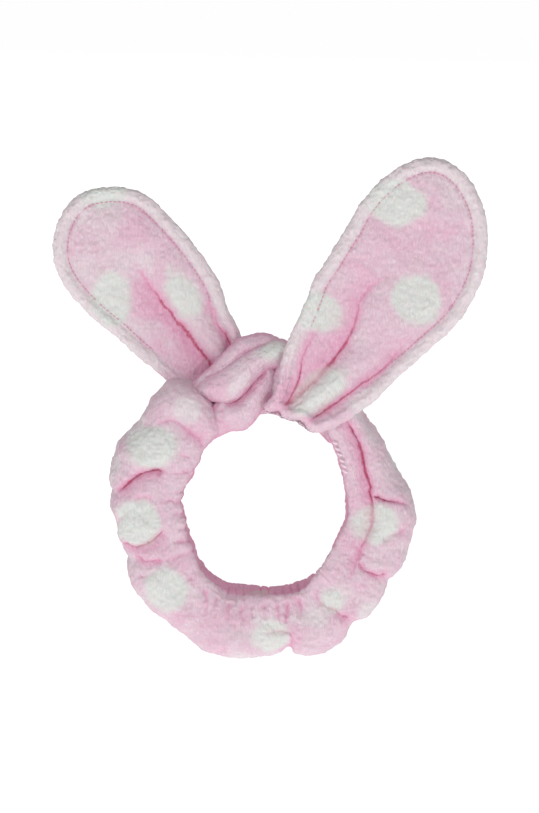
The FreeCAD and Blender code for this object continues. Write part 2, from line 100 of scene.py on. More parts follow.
def noise(p, scale, seed=0):
    """Smooth value noise between -1 and 1 over points in millimetres."""
    q = np.asarray(p, float) / scale
    base = np.floor(q).astype(np.int64)
    f = q - base
    f = f * f * f * (f * (f * 6 - 15) + 10)
    total = 0
    for dx in (0, 1):
        for dy in (0, 1):
            for dz in (0, 1):
                w = (
                    (f[..., 0] if dx else 1 - f[..., 0])
                    * (f[..., 1] if dy else 1 - f[..., 1])
                    * (f[..., 2] if dz else 1 - f[..., 2])
                )
                total = total + w * lattice(base[..., 0] + dx, base[..., 1] + dy, base[..., 2] + dz, seed)
    return total


def walked(line):
    """How far along a line of points each one lies."""
    return np.concatenate([[0], np.cumsum(np.linalg.norm(np.diff(line, axis=0), axis=1))])


def unit(ways):
    return ways / np.linalg.norm(ways, axis=1, keepdims=True)


def curve_through(points, count, closed=False):
    """Evenly spaced points on a smooth curve through the given ones."""
    p = np.asarray(points, float)
    if closed:
        p = np.concatenate([p[-1:], p, p[:2]])
    else:
        p = np.concatenate([2 * p[:1] - p[1:2], p, 2 * p[-1:] - p[-2:-1]])
    out = []
    for i in range(1, len(p) - 2):
        t = np.linspace(0, 1, 40, endpoint=False)[:, None]
        a, b, c, d = p[i - 1], p[i], p[i + 1], p[i + 2]
        out.append(0.5 * (2 * b + (c - a) * t + (2 * a - 5 * b + 4 * c - d) * t**2 + (3 * b - a - 3 * c + d) * t**3))
    out = np.concatenate(out + [p[-2:-1]])
    length = walked(out)
    at = np.linspace(0, length[-1], count, endpoint=not closed)
    return np.stack([np.interp(at, length, out[:, k]) for k in range(out.shape[1])], -1)


def line_distance(p, line):
    """Distance from each point to a line of points, and how far along the line the nearest place is, from 0 to 1."""
    line = np.asarray(line, float)
    best = np.full(p.shape[:-1], 1e9)
    along = np.zeros(p.shape[:-1])
    side = np.zeros(p.shape[:-1])
    n = len(line) - 1
    for i in range(n):
        a, b = line[i], line[i + 1]
        ab = b - a
        t = np.clip(((p - a) @ ab) / (ab @ ab), 0, 1)
        d = p - (a + t[..., None] * ab)
        dist = np.linalg.norm(d, axis=-1)
        closer = dist < best
        best = np.where(closer, dist, best)
        along = np.where(closer, (i + t) / n, along)
        side = np.where(closer, ab[0] * d[..., 1] - ab[1] * d[..., 0], side)
    return best, along, np.sign(side)


def normals_of(grid):
    """Unit normals of a grid of points that closes on itself in its second direction."""
    du = np.roll(grid, -1, 0) - np.roll(grid, 1, 0)
    dv = np.roll(grid, -1, 1) - np.roll(grid, 1, 1)
    du[0], du[-1] = grid[1] - grid[0], grid[-1] - grid[-2]
    n = np.cross(du, dv)
    return n / np.maximum(np.linalg.norm(n, axis=-1, keepdims=True), 1e-9)


def add_object(name, data):
    """A new object in the scene."""
    obj = bpy.data.objects.new(name, data)
    bpy.context.scene.collection.objects.link(obj)
    return obj


def mesh_object(name, points, faces, look, fields=None):
    """A smooth mesh object from points in millimetres, with any number fields kept on its points."""
    mesh = bpy.data.meshes.new(name)
    mesh.from_pydata((np.asarray(points) * MM).tolist(), [], [tuple(map(int, f)) for f in faces])
    for key, value in (fields or {}).items():
        field = mesh.attributes.new(key, "FLOAT", "POINT")
        field.data.foreach_set("value", np.asarray(value, np.float32).ravel())
    mesh.materials.append(look)
    obj = add_object(name, mesh)
    tidy(obj)
    return obj


def tidy(obj):
    """Joins points that lie together, drops faces with no area and makes the rest point outwards."""
    bm = bmesh.new()
    bm.from_mesh(obj.data)
    bmesh.ops.remove_doubles(bm, verts=bm.verts, dist=WELD * MM)
    bmesh.ops.dissolve_degenerate(bm, edges=bm.edges, dist=SLIVER * MM)
    bmesh.ops.recalc_face_normals(bm, faces=bm.faces)
    bm.to_mesh(obj.data)
    bm.free()
    obj.data.polygons.foreach_set("use_smooth", [True] * len(obj.data.polygons))


def fleece_piece(name, points, faces, dots, shade_and_pale, seed, pile_height=1.0):
    """A closed piece of fleece: its surface gets its pile, and its dots and its painted shade and paleness are kept
    for the material.
    """
    obj = mesh_object(name, points, faces, FLEECE, {"dots": dots, "shade_and_pale": np.clip(shade_and_pale, -1, 1)})
    mesh = obj.data
    count = len(mesh.vertices)
    place, out = np.empty(count * 3, np.float32), np.empty(count * 3, np.float32)
    mesh.vertices.foreach_get("co", place)
    mesh.vertex_normals.foreach_get("vector", out)
    place = place.reshape(-1, 3).astype(float) / MM
    rest = mesh.attributes.new("rest", "FLOAT_VECTOR", "POINT")
    rest.data.foreach_set("vector", (place * REST_SCALE).astype(np.float32).ravel())
    place += out.reshape(-1, 3) * (pile(place, seed) * pile_height)[:, None]
    mesh.vertices.foreach_set("co", (place * MM).astype(np.float32).ravel())
    mesh.update()
    return obj


def grid_faces(nu, nv, wrap_u=False, wrap_v=False):
    """Quads of a grid of nu by nv points."""
    i = np.arange(nu if wrap_u else nu - 1)
    j = np.arange(nv if wrap_v else nv - 1)
    i, j = np.meshgrid(i, j, indexing="ij")
    i2, j2 = (i + 1) % nu, (j + 1) % nv
    return np.stack([i * nv + j, i2 * nv + j, i2 * nv + j2, i * nv + j2], -1).reshape(-1, 4)


def tube_faces(count, sides, closed=False):
    """Faces of a tube of count rings, each of that many sides: closed on itself, or with flat ends."""
    faces = [tuple(f) for f in grid_faces(count, sides, closed, True)]
    if not closed:
        faces.append(tuple(range(sides)))
        faces.append(tuple((count - 1) * sides + j for j in reversed(range(sides))))
    return faces


# ---- surface fields


def flat_places(where):
    """Seen places as points of a plane, for noise over them."""
    return np.stack([where[..., 0], where[..., 1], 0 * where[..., 0]], -1)


def dots_seen(where, dots):
    """Millimetres from each seen place to the edge of the nearest dot (x, z, radii, turn), negative inside it."""
    best = np.full(where.shape[:-1], NO_DOT)
    for x, z, rx, rz, turn in dots:
        d = where - np.array([x, z])
        c, s = math.cos(turn), math.sin(turn)
        across, along = d[..., 0] * c + d[..., 1] * s, d[..., 1] * c - d[..., 0] * s
        best = np.minimum(best, (np.sqrt((across / rx) ** 2 + (along / rz) ** 2) - 1) * min(rx, rz))
    flat = flat_places(where)
    return best + 2.4 * noise(flat, 15, 5) + 1.0 * noise(flat, 6, 6)


def dots_round(p, dots):
    """The same for round dots (centre, radius) on a surface that isn't seen."""
    best = np.full(p.shape[:-1], NO_DOT)
    for centre, radius in dots:
        best = np.minimum(best, np.linalg.norm(p - np.asarray(centre, float), axis=-1) - radius)
    return best


def pile(p, seed):
    """The height of the fleece's pile, in millimetres: locks of fibres with finer tips between them."""
    return 0.60 * noise(p, 3.4, seed) + 0.50 * noise(p, 1.9, seed + 1) + 0.45 * noise(p, 10.0, seed + 2)


def folds_at(where, folds, seed):
    """How deep each seen place lies in the folds, as (sharp dent, broad dent, painted shade).

    A fold is (points, width, depth, lopsided, depth at its first and last point as shares). Where it is lopsided, the
    side on the left of its line's direction drops steeply and the other slopes gently.
    """
    flat = flat_places(where)
    wander = np.stack([noise(flat, 7.0, seed + k) for k in (0, 1)], -1)
    fine = noise(flat, 2.6, seed + 2)
    where = where + 0.9 * wander + 0.35 * fine[..., None]
    sharp, broad, pink_shade = (np.zeros(where.shape[:-1]) for _ in range(3))
    for line, width, deep, lopsided, first, last in folds:
        line = curve_through(line, 18) if len(line) > 2 else np.asarray(line, float)
        dist, along, side = line_distance(where, line)
        ends = np.minimum(smooth(along, -0.02, 0.14), smooth(1 - along, -0.02, 0.14))
        strength = (first + (last - first) * along) * (0.15 + 0.85 * ends)
        span = np.where(side > 0, width, width * (1 + lopsided))
        sharp = np.maximum(sharp, deep * strength * np.sqrt(np.clip(strength, 0, 1)) * np.exp(-dist / (0.75 * span)))
        broad = np.maximum(broad, deep * strength * np.exp(-((dist / (2.6 * span)) ** 2)))
        # Painted shade: a thin deep pink line in the fold and a broad pink glow beside it, wider on its gentle side.
        power = np.clip(strength * deep / 6.0, 0, 1)
        line_part = 0.56 * power**2.2 * np.exp(-((dist / (0.32 * width + 0.25)) ** 2))
        pink_shade = np.maximum(pink_shade, line_part + 0.50 * power**0.7 * np.exp(-((dist / (1.9 * span + 0.8)) ** 1.4)))
    return sharp, broad, pink_shade


# ---- materials


def shader(name):
    """A new material, its node tree and its Principled shader."""
    mat = bpy.data.materials.new(name)
    mat.use_nodes = True
    tree = mat.node_tree
    return mat, tree, tree.nodes["Principled BSDF"]


def attribute(tree, name, output="Fac"):
    """A field kept on the mesh's points."""
    n = tree.nodes.new("ShaderNodeAttribute")
    n.attribute_name = name
    return n.outputs[output]


def set_inputs(n, values):
    """Sets a node's own sockets."""
    for key, value in values.items():
        n.inputs[key].default_value = value


def math_node(tree, operation, a, b):
    """A sum of two values, each a number or a socket."""
    n = tree.nodes.new("ShaderNodeMath")
    n.operation = operation
    for socket, v in zip(n.inputs, (a, b)):
        if hasattr(v, "is_linked"):
            tree.links.new(v, socket)
        else:
            socket.default_value = v
    return n.outputs[0]


def mix_colour(tree, factor, a, b, blend="MIX"):
    """A colour between a, where the factor is 0, and b, where it is 1."""
    n = tree.nodes.new("ShaderNodeMix")
    n.data_type = "RGBA"
    n.blend_type = blend
    for socket, v in ((n.inputs[0], factor), (n.inputs[6], a), (n.inputs[7], b)):
        if hasattr(v, "is_linked"):
            tree.links.new(v, socket)
        else:
            socket.default_value = v if not isinstance(v, tuple) else (*v, 1.0)
    return n.outputs[2]


def ramp(tree, value, low, high, start, stop, add=None):
    """A smooth ramp from start, where the value is low, to stop, where it is high; add is (noise, amount)."""
    if add is not None:
        swing = math_node(tree, "SUBTRACT", add[0], 0.5)
        value = math_node(tree, "ADD", value, math_node(tree, "MULTIPLY", swing, add[1]))
    n = tree.nodes.new("ShaderNodeMapRange")
    n.interpolation_type = "SMOOTHSTEP"
    set_inputs(n, {"From Min": low, "From Max": high, "To Min": start, "To Max": stop})
    tree.links.new(value, n.inputs["Value"])
    return n.outputs[0]


def rest_noise(tree, where, scale, detail=2.0, rough=0.55, stretch=None, twist=0.0):
    """Noise from 0 to 1 over a place, finer where the scale or the stretch along an axis is larger."""
    if stretch is not None:
        m = tree.nodes.new("ShaderNodeMapping")
        m.inputs["Scale"].default_value = stretch
        tree.links.new(where, m.inputs["Vector"])
        where = m.outputs[0]
    n = tree.nodes.new("ShaderNodeTexNoise")
    set_inputs(n, {"Scale": scale, "Detail": detail, "Roughness": rough, "Distortion": twist})
    tree.links.new(where, n.inputs["Vector"])
    return n.outputs["Fac"]


def add_bump(tree, bsdf, height, strength, distance):
    """Relief on a shader from a height, whose full range is distance metres deep."""
    bump = tree.nodes.new("ShaderNodeBump")
    set_inputs(bump, {"Strength": strength, "Distance": distance})
    tree.links.new(height, bump.inputs["Height"])
    tree.links.new(bump.outputs[0], bsdf.inputs["Normal"])


PINK = (0.785, 0.612, 0.690)
# The pale pink is both paler random patches and a painted highlight on the ears' puffed rims.
PINK_PALE_AND_HIGHLIGHT = (0.800, 0.715, 0.745)
# The warm pink is both a warmer tone in random patches and painted shade beside folds and creases; the deep pink and
# deep cream are painted shade deep in them, on the pink and on the dots.
PINK_WARM_AND_SHADE = (0.800, 0.400, 0.570)
PINK_SHADE_DEEP = (0.520, 0.075, 0.165)
CREAM = (0.755, 0.775, 0.745)
CREAM_SHADE = (0.70, 0.42, 0.49)
# Painted highlight for the pile's tips, and painted shade for the gaps between its locks.
TIP_HIGHLIGHT = (0.93, 0.90, 0.90)
GAP_SHADE = (0.74, 0.48, 0.56)


def fleece():
    """Coral fleece: short dense pile in pink with soft-edged cream dots."""
    mat, tree, bsdf = shader("dotted_fleece")
    rest = attribute(tree, "rest", "Vector")
    dots, shade_and_pale = attribute(tree, "dots"), attribute(tree, "shade_and_pale")
    # The rest place is in units of 10 mm, so the pile's locks are about 1.3 mm wide and 4 mm long.
    locks = rest_noise(tree, rest, 7.5, 2.0, 0.55, (1.0, 1.0, 0.34), 0.9)
    tips = rest_noise(tree, rest, 14.0, 2.0, 0.6, (1.0, 1.0, 0.4), 0.6)
    patches = rest_noise(tree, rest, 0.38, 2.0, 0.5)
    edge = ramp(tree, dots, 4.4, -3.2, 0.0, 1.0, add=(locks, 4.0))
    pink = mix_colour(tree, ramp(tree, patches, 0.38, 0.70, 0.0, 0.34), PINK, PINK_WARM_AND_SHADE)
    # Paler where the shade field is negative: random patches, and a painted highlight on the ears' rims.
    pink = mix_colour(tree, ramp(tree, shade_and_pale, 0.0, -0.8, 0.0, 1.0), pink, PINK_PALE_AND_HIGHLIGHT)
    # Painted shade: deeper, warmer pink in folds, creases, gathers and recesses, on the pink and on the cream dots.
    warm_shade = mix_colour(tree, ramp(tree, shade_and_pale, 0.0, 0.55, 0.0, 0.95), pink, PINK_WARM_AND_SHADE)
    deep = mix_colour(tree, ramp(tree, shade_and_pale, 0.45, 1.0, 0.0, 0.9), warm_shade, PINK_SHADE_DEEP)
    pale = mix_colour(tree, ramp(tree, shade_and_pale, 0.05, 0.75, 0.0, 0.9), CREAM, CREAM_SHADE)
    colour = mix_colour(tree, edge, deep, pale)
    # Painted highlight: tips of the pile are lighter, as if they catch the light. Painted shade: the gaps between
    # locks are darker and redder.
    colour = mix_colour(tree, ramp(tree, locks, 0.46, 0.70, 0.0, 0.20), colour, TIP_HIGHLIGHT)
    colour = mix_colour(tree, ramp(tree, locks, 0.60, 0.36, 0.0, 0.11), colour, GAP_SHADE, "MULTIPLY")
    tree.links.new(colour, bsdf.inputs["Base Color"])
    height = math_node(tree, "ADD", locks, math_node(tree, "MULTIPLY", tips, 0.25))
    add_bump(tree, bsdf, height, 0.65, 0.0013)
    set_inputs(bsdf, {
        "Roughness": 0.95, "Specular IOR Level": 0.08, "Subsurface Weight": 0.25,
        "Subsurface Radius": (1.0, 0.42, 0.55), "Subsurface Scale": 0.004, "Sheen Weight": 0.25,
        "Sheen Roughness": 0.5, "Sheen Tint": (1.0, 0.96, 0.97, 1.0),
    })
    return mat


def waved(name, dark, light, bands, scale, distortion, relief, rough):
    """A material whose colour and relief follow fine waves along an axis; relief is (strength, metres)."""
    mat, tree, bsdf = shader(name)
    wave = tree.nodes.new("ShaderNodeTexWave")
    wave.bands_direction = bands
    set_inputs(wave, {"Scale": scale, "Distortion": distortion})
    tree.links.new(tree.nodes.new("ShaderNodeTexCoord").outputs["Object"], wave.inputs["Vector"])
    tree.links.new(mix_colour(tree, wave.outputs["Fac"], dark, light), bsdf.inputs["Base Color"])
    add_bump(tree, bsdf, wave.outputs["Fac"], *relief)
    bsdf.inputs["Roughness"].default_value = rough
    return mat


def thread(name, dark, light, rough):
    """Shiny twisted polyester thread."""
    return waved(name, dark, light, "X", 900, 2.0, (0.3, 0.0002), rough)


def woven(name, light, dark, scale):
    """A narrow woven or knitted strip."""
    return waved(name, dark, light, "Y", scale, 0.6, (0.5, 0.0004), 0.8)


def metal(name, colour, rough):
    """Drawn wire or pressed metal with fine lengthwise marks."""
    mat, tree, bsdf = shader(name)
    where = tree.nodes.new("ShaderNodeTexCoord").outputs["Object"]
    marks = rest_noise(tree, where, 900, 3.0, 0.6, (1, 1, 0.2))
    dullness = tree.nodes.new("ShaderNodeMapRange")
    set_inputs(dullness, {"To Min": rough - 0.08, "To Max": rough + 0.12})
    tree.links.new(marks, dullness.inputs["Value"])
    tree.links.new(dullness.outputs[0], bsdf.inputs["Roughness"])
    dark = tuple(c * 0.85 for c in colour)
    tree.links.new(mix_colour(tree, marks, dark, colour), bsdf.inputs["Base Color"])
    bsdf.inputs["Metallic"].default_value = 1.0
    return mat


FLEECE = fleece()
THREAD = thread("polyester_thread", (0.60, 0.20, 0.34), (0.80, 0.40, 0.53), 0.45)

# ---- the band

# The ring's outer edge as it is seen, walked from the knot's left side down and round to its right side.
OUTER_EDGE = [
    (-46, 92), (-56, 99.5), (-64, 101), (-76, 100), (-85, 92), (-92.8, 83.2), (-101, 70), (-108.6, 59.2),
    (-117.6, 49.6), (-122.4, 32), (-123.8, 19.2), (-121.6, 13), (-123.8, 6.8), (-124, -1.4), (-120.3, -9.6),
    (-117.8, -18), (-117.1, -26.2), (-112.8, -35.2), (-108.8, -40.8), (-110, -48), (-107, -62), (-100.3, -71.7),
    (-90.6, -81.4), (-79.6, -91), (-70, -98.4), (-61.8, -104.6), (-49.6, -112.6), (-33.7, -118), (-19, -120),
    (-6.8, -120), (5.4, -118.9), (12.8, -116.8), (18.6, -112.8), (23.8, -116.4), (36, -118.2), (48.3, -115.5),
    (58.2, -108.8), (65.4, -101.4), (68.2, -93.6), (72, -91), (80.8, -88), (88, -81.3), (94.2, -72.8), (97.8, -63),
    (99.2, -57.2), (104, -54.4), (108.8, -49.4), (112.6, -39.7), (114.4, -29.9), (117.4, -21.3), (119.7, -11.5),
    (119.2, 0.8), (116.2, 10.6), (110.2, 21.6), (104, 31.4), (97.8, 42.4), (94.8, 51.2), (91, 56), (83.2, 68),
    (78.3, 76), (72, 86), (60, 96),
]
# The head side: angle from +X in degrees, and radius.
INNER_EDGE = [
    (-250, 70), (-227, 70), (-215, 65.5), (-205, 63.5), (-197, 65), (-189, 66), (-176, 66.7), (-169, 66), (-156, 66.5),
    (-148, 67.5), (-139, 71), (-128, 72), (-116, 71.8), (-103, 70), (-87, 70), (-74, 71.5), (-62, 72), (-51, 70.5),
    (-38, 66.5), (-31, 65), (-21, 64.6), (-4, 65.7), (14, 64.8), (27, 67.5), (34, 71), (40, 73.5), (45, 75.5),
    (51, 79), (58, 85), (70, 88),
]

# Folds on the band's front: seen points, width, depth, lopsided, and the depth's share at both ends.
BAND_FOLDS = [
    ([(-92, 62), (-80, 66.5), (-70, 66), (-60, 58.5), (-48, 47)], 1.8, 5.0, 0.6, 0.35, 0.9),
    ([(-120, 10), (-113, 16), (-104, 22), (-92, 26.5), (-80, 26.5)], 2.1, 9.0, 0.8, 0.7, 0.9),
    ([(-106, 4.4), (-96, 5.6), (-88, 3.6)], 1.5, 4.0, 0.5, 0.8, 0.6),
    ([(-75, -5.8), (-62, -7.5)], 1.5, 2.4, 0.3, 0.8, 0.8),
    ([(-118, -30), (-106, -34.5), (-96, -32.5), (-86, -26), (-82, -20)], 2.0, 8.5, 0.9, 0.6, 0.7),
    ([(-107, -42), (-96, -45.5), (-80, -44.5)], 1.7, 5.0, 0.6, 0.9, 0.8),
    ([(-80, -44.5), (-68, -40), (-58, -36)], 1.5, 3.0, 0.4, 0.9, 0.5),
    ([(-72, -90), (-60, -88.5), (-50, -89)], 1.6, 2.6, 0.3, 0.7, 0.6),
    ([(-62, -84), (-66, -60)], 1.6, 2.2, 0.2, 0.5, 0.5),
    ([(17.6, -121), (21.4, -111), (20, -104), (12, -101.4), (-2.4, -103)], 1.9, 6.5, 0.7, 0.7, 0.35),
    ([(69, -93), (58, -87), (48, -80), (38, -70)], 1.8, 4.4, 0.5, 1.1, 0.4),
    ([(100, -57), (90, -56.5), (80, -54), (74, -45)], 1.9, 5.5, 0.7, 1.0, 0.8),
    ([(63, 72), (72, 57), (77, 44), (81, 25), (85, 6), (86.5, -6), (84, -20), (78, -34), (72, -48), (66, -66)],
     2.3, 9.0, 1.1, 1.0, 0.35),
    ([(85, 6), (96, 3.2), (106, 1.6), (116, -1)], 2.2, 7.5, -0.5, 1.0, 0.4),
    ([(74, -38), (86, -42), (98, -42)], 1.8, 2.6, 0.3, 0.8, 0.4),
    ([(-50, -66), (-46, -78), (-50, -90)], 1.5, 3.4, 0.3, 0.9, 0.4),
    ([(-38, -72), (-42, -90)], 1.4, 3.0, 0.3, 0.9, 0.3),
    ([(-28, -76), (-30, -96)], 1.4, 3.4, 0.3, 0.9, 0.4),
    ([(-20, -78), (-17, -98)], 1.4, 3.0, 0.3, 0.9, 0.3),
    ([(-11, -80), (-9, -92)], 1.3, 2.6, 0.3, 0.9, 0.3),
    ([(0, -79), (1, -93)], 1.3, 3.0, 0.3, 0.9, 0.3),
    ([(9, -79), (13, -98)], 1.4, 3.6, 0.3, 0.9, 0.6),
    ([(18, -78), (16.5, -96)], 1.4, 4.2, 0.3, 0.9, 0.7),
    ([(28, -75), (28, -91)], 1.5, 4.6, 0.3, 1.0, 0.3),
    ([(40, -69), (52, -84)], 1.5, 2.6, 0.3, 0.8, 0.4),
    ([(-58, -58), (-70, -66)], 1.4, 2.4, 0.3, 0.9, 0.3),
    ([(-2, -104), (-6, -118)], 1.5, 2.4, 0.3, 0.8, 0.6),
    ([(-32, -112), (-33, -118)], 1.4, 2.4, 0.3, 0.8, 0.8),
    ([(-60, 27), (-70, 24), (-82, 26)], 1.5, 3.4, 0.4, 0.8, 0.4),
    ([(-61, 12), (-74, 9)], 1.4, 3.2, 0.3, 0.9, 0.4),
    ([(-62, 2), (-76, 3), (-86, 1)], 1.5, 3.6, 0.3, 0.9, 0.4),
    ([(-61, -18), (-72, -20)], 1.4, 3.0, 0.3, 0.9, 0.4),
    ([(-60, -29), (-74, -31)], 1.5, 3.8, 0.3, 0.9, 0.5),
    ([(-58, 38), (-70, 40), (-78, 36)], 1.5, 3.0, 0.3, 0.9, 0.4),
    ([(-104, -58), (-95, -57), (-86, -54)], 1.5, 3.0, 0.3, 0.9, 0.5),
    ([(-118, -12), (-110, -6)], 1.5, 2.6, 0.3, 0.9, 0.5),
    ([(-98, 66), (-90, 64), (-84, 60)], 1.5, 2.6, 0.3, 0.9, 0.5),
    ([(112, -22), (102, -24), (94, -30)], 1.6, 3.4, 0.3, 0.9, 0.5),
    ([(62, 4), (72, 2)], 1.4, 1.8, 0.3, 0.8, 0.4),
    ([(58, -24), (70, -30)], 1.4, 2.0, 0.3, 0.8, 0.4),
]

BAND_DOTS = [
    (-90.4, 45.6, 19.3, 16.2, 0.1), (-102.4, -15.2, 16.7, 18.2, 0.0), (-79.6, -68, 16.5, 17, 0.0),
    (5.0, -106, 13.5, 13.5, 0.0), (53.6, -77.6, 9, 9.5, 0.4), (89.6, -14.8, 20.5, 15.5, 0.0),
]


def ring_dot(degrees, far, y, radius):
    """A round dot at an angle round the ring, as (centre, radius)."""
    a = math.radians(degrees)
    return (far * math.cos(a), y, far * math.sin(a)), radius


# The dots on the band's inside, back and outer edge.
UNSEEN_DOTS = [((-5.5, -13, -70), 7.5)]
for k in range(9):
    UNSEEN_DOTS += [ring_dot(-214 + 31 * k, 93, 29, 17.5), ring_dot(-199 + 31 * k, 121, 11, 17.0)]

BAND_START, BAND_END = -245, 60  # degrees from +X
BAND_GRID = (620, 230)
ELASTIC_START, ELASTIC_END = -176, -4
ELASTIC_INSET, ELASTIC_THICK, ELASTIC_HALF_WIDTH = 5.6, 1.6, 19.0
OVERLOCK_FROM, OVERLOCK_TO, OVERLOCK_STEP = 47.0, 27.0, -3.6  # degrees round the ring
OVERLOCK_TURNS = (math.radians(218), math.radians(244))  # where a loop starts and ends round the casing's section


def radius_at(angles, edge):
    """The radius of an edge of (angle, radius) pairs at given angles, with its corners softened."""
    edge = np.asarray(edge, float)
    dense = np.linspace(edge[0, 0], edge[-1, 0], 1600)
    value = np.interp(dense, edge[:, 0], edge[:, 1])
    kernel = np.hanning(15)
    value = np.convolve(np.pad(value, 7, mode="edge"), kernel / kernel.sum(), mode="valid")
    return np.interp(angles, dense, value)


def edge_angles(points):
    """Seen points of the ring's outline as (angle, radius) pairs in the ring's own plane."""
    p = unsee(*np.asarray(points, float).T, 0.0)
    angle = np.degrees(np.unwrap(np.arctan2(p[:, 2], p[:, 0])))
    angle = angle - 360 * round((angle[0] + 240) / 360)
    return np.stack([angle, np.hypot(p[:, 0], p[:, 2])], 1)


def section(turn):
    """A rounded box's section, flatter on its inner side: how far across and how deep, each from -1 to 1."""
    c, s = np.cos(turn), np.sin(turn)
    return np.sign(c) * np.abs(c) ** np.where(c < 0, 0.42, 0.8), np.sign(s) * np.abs(s) ** 0.66


def even_turns(count, half, half_depth):
    """Turns that space points evenly round such a section."""
    turn = np.linspace(0, 2 * math.pi, 20001)
    across, deep = section(turn)
    length = np.concatenate([[0], np.cumsum(np.hypot(np.diff(across) * half, np.diff(deep) * half_depth))])
    return np.interp(np.linspace(0, length[-1], count, endpoint=False), length, turn)


def casing(name, start, end, outer, inner, middle, half_depth, size, folds, dots, unseen, seed, fine, caps):
    """A gathered tube of fleece round part of the head, as a closed mesh. Angles are in degrees from +X.

    It is a rounded box in section, flatter on the head's side, with folds where the front shows them, creases of its
    own round the outside and back, and fine gathers beside the head. Returns the piece and its surface as a grid.
    """
    nu, nv = size
    degrees = np.linspace(start, end, nu)
    angle = np.radians(degrees)[:, None]
    turn = even_turns(nv, (radius_at(0, outer) - radius_at(0, inner)) / 2, half_depth)
    r_out, r_in = radius_at(degrees, outer), radius_at(degrees, inner)
    cap = np.sqrt(np.clip(1 - (1 - np.clip((degrees - start) / caps[0], 0, 1)) ** 2, 0.0004, 1))
    cap = cap * np.sqrt(np.clip(1 - (1 - np.clip((end - degrees) / caps[1], 0, 1)) ** 2, 0.0004, 1))
    centre, half = (r_out + r_in) / 2, (r_out - r_in) / 2 * cap
    across, deep = (side[None] for side in section(turn))
    radius = centre[:, None] + half[:, None] * across
    depth = middle + (half_depth * cap)[:, None] * deep
    grid = np.stack([radius * np.cos(angle), depth, radius * np.sin(angle)], -1)
    normal = normals_of(grid)
    outward = np.stack([np.cos(angle) * across, 0 * angle + deep, np.sin(angle) * across], -1)
    normal = normal * np.sign((normal * outward).sum(-1).mean())
    arc = np.radians(degrees) * 100

    lift = 1.5 * noise(grid, 24, seed) + 1.0 * noise(grid, 12, seed + 1)
    pink_shade = np.zeros(grid.shape[:2])
    front = smooth(middle - grid[..., 1], -6, 8) if folds else np.zeros(grid.shape[:2])
    where = seen(grid)
    if folds:
        sharp, broad, tint = folds_at(where, folds, seed + 30)
        lift = lift - front * (0.62 * sharp + 0.38 * broad)
        # Painted shade of the folds: deeper pink along them.
        pink_shade = np.maximum(pink_shade, front * tint)
    # Creases round the outside and back lean, and run only part of the way round.
    rng = np.random.default_rng(seed)
    for spot in np.arange(arc[0], arc[-1], 11.0):
        spot = spot + rng.uniform(-5, 5)
        lean, dent, width = rng.uniform(-12, 12), rng.uniform(1.6, 7.0), rng.uniform(1.5, 2.6)
        middle_turn, reach = rng.uniform(0.1 * math.pi, 0.95 * math.pi), rng.uniform(0.4, 0.95)
        swing = (turn - middle_turn)[None] / reach
        fade = (1 - front) * np.clip(1 - swing**2, 0, 1)
        wander = 2.2 * noise(grid * 0.7 + spot, 9, seed + 3)
        dist = np.abs(arc[:, None] - spot - (turn - middle_turn)[None] * lean - wander)
        lift = lift - fade * dent * (0.55 * np.exp(-dist / width) + 0.45 * np.exp(-((dist / (3.2 * width)) ** 2)))
        # Painted shade: deeper pink down each crease.
        pink_shade = np.maximum(pink_shade, fade * dent / 7.5 * (0.8 * np.exp(-((dist / width) ** 2)) + 0.3 * np.exp(-dist / 4)))
    # Fine gathers where the elastic draws the casing in.
    phase = (arc[:, None] + 3.0 * noise(grid * np.array([1, 0.25, 1]), 11, seed + 8)) / fine * math.pi
    ridge = 1 - np.abs(np.sin(phase))
    low = np.clip(-np.sin(angle), 0, 1) ** 1.5
    gather = ridge**3 * np.clip(0.40 + 0.9 * noise(grid, 13, seed + 9), 0, 1) * (0.35 + 0.65 * low)
    near = np.exp(-np.clip(radius - r_in[:, None], 0, None) / (5.0 + 8.0 * low))
    lift = lift - gather * near * 2.6
    # Painted shade: deeper pink in the gathers.
    pink_shade = np.maximum(pink_shade, gather * near * 0.32)
    # A plump, ruffled lip stands up in front of the head's side, which lies in the object's own shade.
    rim = np.exp(-(((grid[..., 1] - middle + 0.80 * half_depth) / 5.0) ** 2)) * smooth(-across, 0.45, 0.9)
    lip = rim * low
    sway = np.interp(
        degrees, (-230, -200, -175, -150, -132, -112, -92, -72, -45, -20, 0, 25, 45),
        (0, 2.5, 4.5, 4.5, 2.0, -2.5, 0.5, 5.0, 8.0, 7.0, 4.0, 1.0, 0),
    )[:, None]
    lift = lift + lip * (2.0 + 1.6 * noise(grid, 7, seed + 10)) + rim * sway
    # Painted shade: the wall beside the head is tinted deeper pink, for the shade it lies in.
    inside = smooth(-across, 0.70, 0.95) * smooth(grid[..., 1] - middle, -0.78 * half_depth, -0.55 * half_depth)
    pink_shade = np.maximum(pink_shade, inside * 0.56)
    pale = 0.75 * smooth(noise(grid, 21, seed + 12), 0.0, 0.55) * (1 - smooth(-across, 0.3, 0.8))
    pink_shade = pink_shade - pale * (1 - np.clip(3.5 * pink_shade, 0, 1))
    grid = grid + normal * (lift * cap[:, None])[..., None]
    spread = dots_seen(where, dots) + 10 * smooth(grid[..., 1] - middle, 0, 16)
    spread = np.minimum(spread, dots_round(grid, unseen) + 14 * front * (1 - inside))
    piece = fleece_piece(name, grid.reshape(-1, 3), tube_faces(nu, nv), spread, pink_shade, seed + 20)
    return piece, grid, turn


